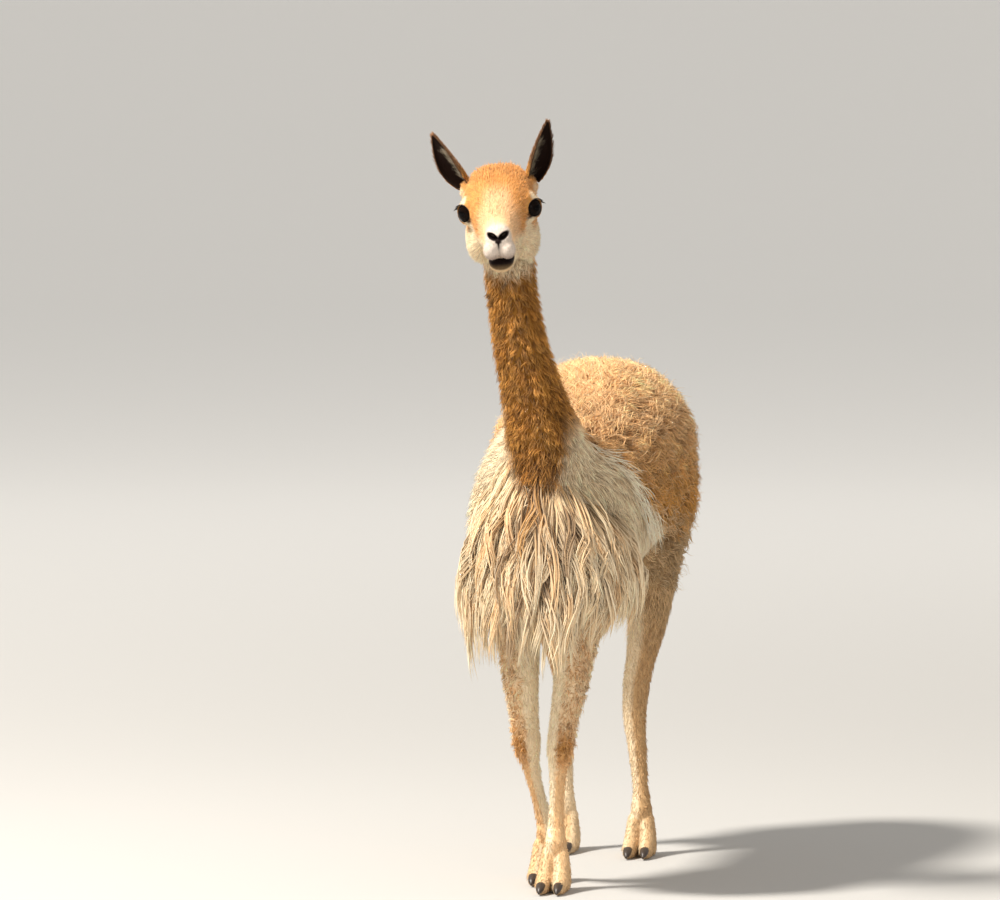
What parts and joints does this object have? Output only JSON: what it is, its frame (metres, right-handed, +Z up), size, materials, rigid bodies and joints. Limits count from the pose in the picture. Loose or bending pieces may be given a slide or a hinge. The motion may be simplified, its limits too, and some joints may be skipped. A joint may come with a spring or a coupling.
{
  "type": "vicuna",
  "caption": "Life-size still vicuna standing with head raised, woolly tan back, long pale chest hair, slim legs and two-toed feet.",
  "frame": {"origin": "on the floor, at the middle of the whole model's footprint box", "axes": "+Z up, along the model's longest side; the animal faces -Y and its own left side is +X"},
  "size_m": [0.3672, 1.0172, 1.3008],
  "materials": {
    "tan_fleece": "soft, dense tan wool",
    "cream_hair": "long, silky cream hair in locks",
    "leg_coat": "short hair, pale inside and tan in front",
    "ear_skin": "thin ear with very short hair, dark inside",
    "eye_gloss": "wet black eye",
    "nail_horn": "smooth dark horn"
  },
  "bodies": {
    "root": {"chest": "cream_hair", "ear_left": "ear_skin", "ear_right": "ear_skin", "eye_left": "eye_gloss", "eye_right": "eye_gloss", "fore_cannon_left": "leg_coat", "fore_cannon_right": "leg_coat", "fore_foot_left": "leg_coat", "fore_foot_right": "leg_coat", "fore_leg_left": "leg_coat", "fore_leg_right": "leg_coat", "fore_nail_left_inner": "nail_horn", "fore_nail_left_outer": "nail_horn", "fore_nail_right_inner": "nail_horn", "fore_nail_right_outer": "nail_horn", "head": "tan_fleece", "hind_cannon_left": "leg_coat", "hind_cannon_right": "leg_coat", "hind_foot_left": "leg_coat", "hind_foot_right": "leg_coat", "hind_leg_left": "leg_coat", "hind_leg_right": "leg_coat", "hind_nail_left_inner": "nail_horn", "hind_nail_left_outer": "nail_horn", "hind_nail_right_inner": "nail_horn", "hind_nail_right_outer": "nail_horn", "hind_thigh_left": "leg_coat", "hind_thigh_right": "leg_coat", "neck_lower": "tan_fleece", "neck_upper": "tan_fleece", "rump": "tan_fleece", "tail": "tan_fleece", "torso": "tan_fleece"}
  },
  "joints": []
}
